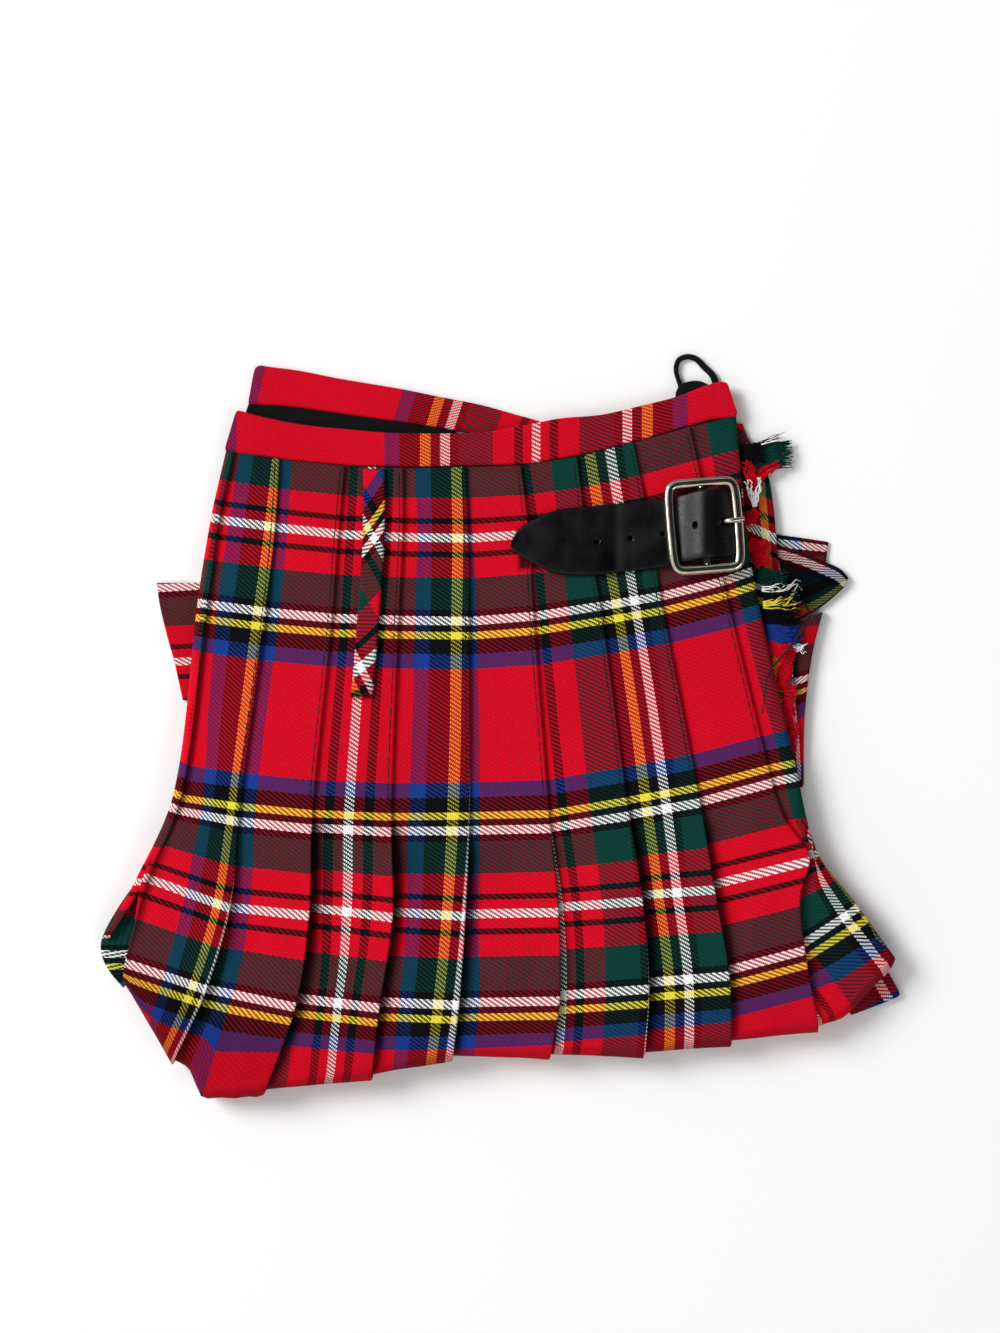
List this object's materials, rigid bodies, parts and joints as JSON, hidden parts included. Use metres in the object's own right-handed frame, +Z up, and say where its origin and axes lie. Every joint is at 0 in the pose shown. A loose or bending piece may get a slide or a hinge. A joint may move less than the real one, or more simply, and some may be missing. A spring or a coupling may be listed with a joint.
{
  "type": "kilt",
  "caption": "Pleated tartan wool kilt, buckled and folded in half, lying flat with its pleated back up, with a leather strap and a steel buckle.",
  "frame": {"origin": "on the surface that the kilt lies on, at the middle of its box", "axes": "+Z up from the surface, through the folded stack; +Y from the folded bottom towards the waistband; +X towards the buckle and the fringed side"},
  "size_m": [0.3644, 0.3383, 0.0214],
  "materials": {
    "tartan": "pressed worsted wool twill in a red tartan with green, blue, black, yellow and white stripes",
    "tartan_inside": "the same wool twill where it is folded under",
    "fringe_wool": "loose frayed wool threads in the colours of the stripes",
    "black_cotton": "matt woven black cotton",
    "black_leather": "smooth black leather, softly polished",
    "plated_steel": "polished nickel-plated steel"
  },
  "bodies": {
    "root": {"hidden_layers": "tartan_inside", "pleat_0": "tartan", "pleat_1": "tartan", "pleat_2": "tartan", "pleat_3": "tartan", "pleat_4": "tartan", "pleat_5": "tartan", "pleat_6": "tartan", "pleat_7": "tartan", "pleat_8": "tartan", "pleat_9": "tartan", "side_pocket": "tartan_inside", "side_layer": "tartan_inside", "foot_corner": "tartan_inside", "hem_left": "tartan_inside", "hem_right": "tartan_inside", "hem_flap": "tartan_inside", "apron_edge": "tartan", "fringe": "fringe_wool", "waistband": "tartan", "apron_waistband": "tartan", "lining_strip": "black_cotton", "belt_loop": "tartan", "strap": "black_leather", "buckle_tab": "black_leather", "buckle_frame": "plated_steel", "buckle_prong": "plated_steel", "hanging_loop": "black_cotton", "tape_end": "black_cotton"}
  },
  "joints": []
}
